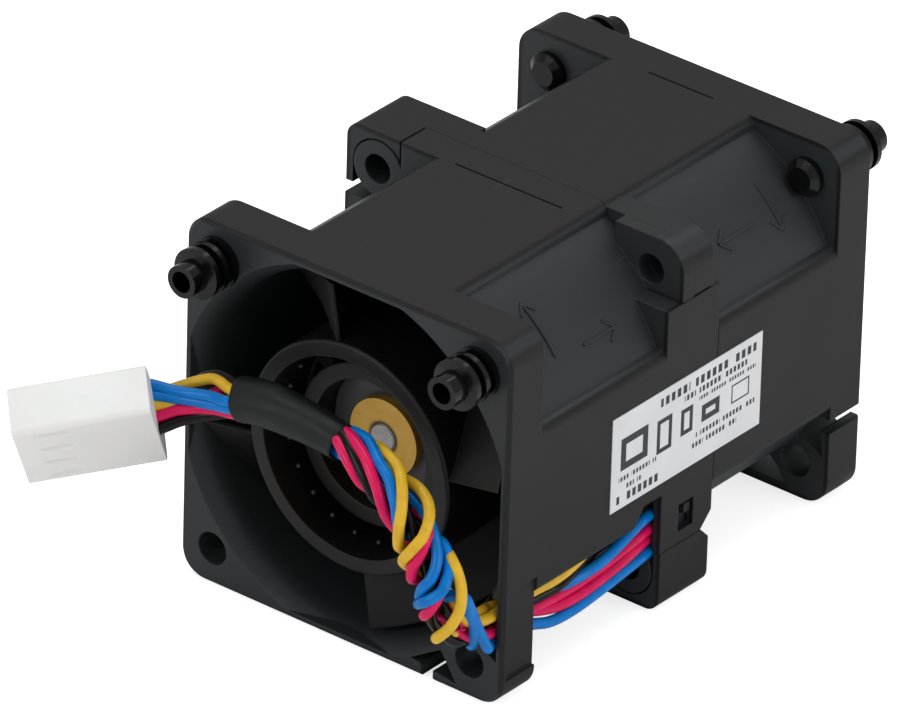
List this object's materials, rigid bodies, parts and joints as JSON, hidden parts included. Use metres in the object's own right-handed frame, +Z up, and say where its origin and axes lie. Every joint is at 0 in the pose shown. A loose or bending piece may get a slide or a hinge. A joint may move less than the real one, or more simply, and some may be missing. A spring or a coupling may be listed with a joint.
{
  "type": "server fan module",
  "caption": "Square counter-rotating axial fan for a server: two clipped housings, impellers back to back, rubber mounting pins and leads to a plug.",
  "frame": {"origin": "middle of the underside of the housing", "axes": "+Y along the fan's axis from the front, inlet face to the rear face, +Z up, +X to the right seen from the front"},
  "size_m": [0.0495, 0.0823, 0.04],
  "materials": {
    "housing_plastic": "satin glass-filled",
    "impeller_plastic": "satin moulded",
    "yoke_steel": "dark coated",
    "bonded_magnet": "dull",
    "brass": "turned",
    "ground_steel": "ground",
    "spring_steel": "plain",
    "bearing_steel": "polished",
    "laminated_steel": "stacked sheets",
    "insulator_plastic": "moulded",
    "copper_wire": "enamelled",
    "board_laminate": "solder mask",
    "pin_rubber": "glossy",
    "label_paper": "printed film",
    "lead_insulation": "extruded",
    "sleeve_plastic": "shrunk",
    "connector_nylon": "moulded",
    "contact_metal": "tin plated"
  },
  "bodies": {
    "root": {"front_frame": "housing_plastic", "rear_frame": "housing_plastic", "front_inner_bearing": "bearing_steel", "front_outer_bearing": "bearing_steel", "front_bearing_tube": "brass", "front_stator_core": "laminated_steel", "front_lower_insulator": "insulator_plastic", "front_upper_insulator": "insulator_plastic", "front_stator_windings": "copper_wire", "front_circuit_board": "board_laminate", "front_left_vibration_pin": "pin_rubber", "front_right_vibration_pin": "pin_rubber", "rear_inner_bearing": "bearing_steel", "rear_outer_bearing": "bearing_steel", "rear_bearing_tube": "brass", "rear_stator_core": "laminated_steel", "rear_lower_insulator": "insulator_plastic", "rear_upper_insulator": "insulator_plastic", "rear_stator_windings": "copper_wire", "rear_circuit_board": "board_laminate", "rear_left_vibration_pin": "pin_rubber", "rear_right_vibration_pin": "pin_rubber", "rating_label": "label_paper", "lead_run": "lead_insulation", "lead_bundle": "lead_insulation", "shrink_sleeve": "sleeve_plastic", "connector_housing": "connector_nylon", "connector_contacts": "contact_metal"},
    "front_rotor": {"front_impeller": "impeller_plastic", "front_rotor_yoke": "yoke_steel", "front_magnet_ring": "bonded_magnet", "front_rotor_bush": "brass", "front_shaft": "ground_steel", "front_retaining_clip": "spring_steel", "front_preload_spring": "spring_steel"},
    "rear_rotor": {"rear_impeller": "impeller_plastic", "rear_rotor_yoke": "yoke_steel", "rear_magnet_ring": "bonded_magnet", "rear_rotor_bush": "brass", "rear_shaft": "ground_steel", "rear_retaining_clip": "spring_steel", "rear_preload_spring": "spring_steel"}
  },
  "joints": [
    {"name": "front_rotor_spin", "type": "hinge", "parent": "root", "child": "front_rotor", "pos_m": [0, -0.014, 0.02], "axis": [0, 1, 0], "continuous": true},
    {"name": "rear_rotor_spin", "type": "hinge", "parent": "root", "child": "rear_rotor", "pos_m": [0, 0.014, 0.02], "axis": [0, -1, 0], "continuous": true}
  ]
}
